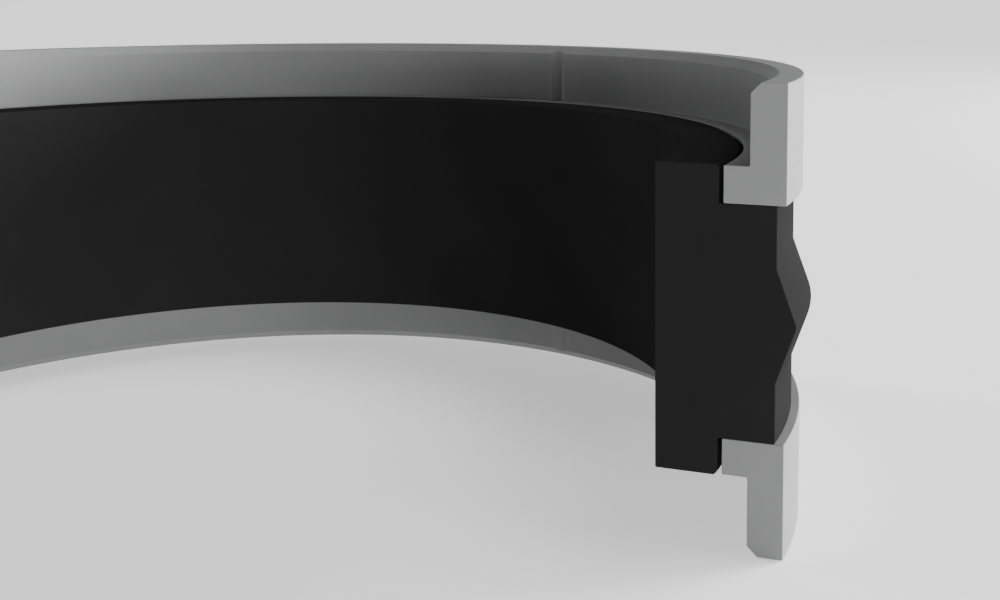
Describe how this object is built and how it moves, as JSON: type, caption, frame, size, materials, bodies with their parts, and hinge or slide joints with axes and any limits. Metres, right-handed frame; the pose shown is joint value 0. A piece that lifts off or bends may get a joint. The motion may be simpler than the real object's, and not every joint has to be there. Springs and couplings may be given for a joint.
{
  "type": "piston seal",
  "caption": "Double-acting compact piston seal, cut away over a quarter turn: black rubber sealing ring with one lip, held between two grey guide rings of L section.",
  "frame": {"origin": "on the ring axis at mid-height, in the middle of the sealing ring's inner wall", "axes": "+Z along the ring axis, towards the upper guide ring; -Y through the middle of the quarter that is cut away"},
  "size_m": [0.1014, 0.0865, 0.0362],
  "materials": {
    "seal_rubber": "satin",
    "guide_plastic": "matte"
  },
  "bodies": {
    "root": {"sealing_ring": "seal_rubber", "upper_guide_ring": "guide_plastic", "lower_guide_ring": "guide_plastic"}
  },
  "joints": []
}
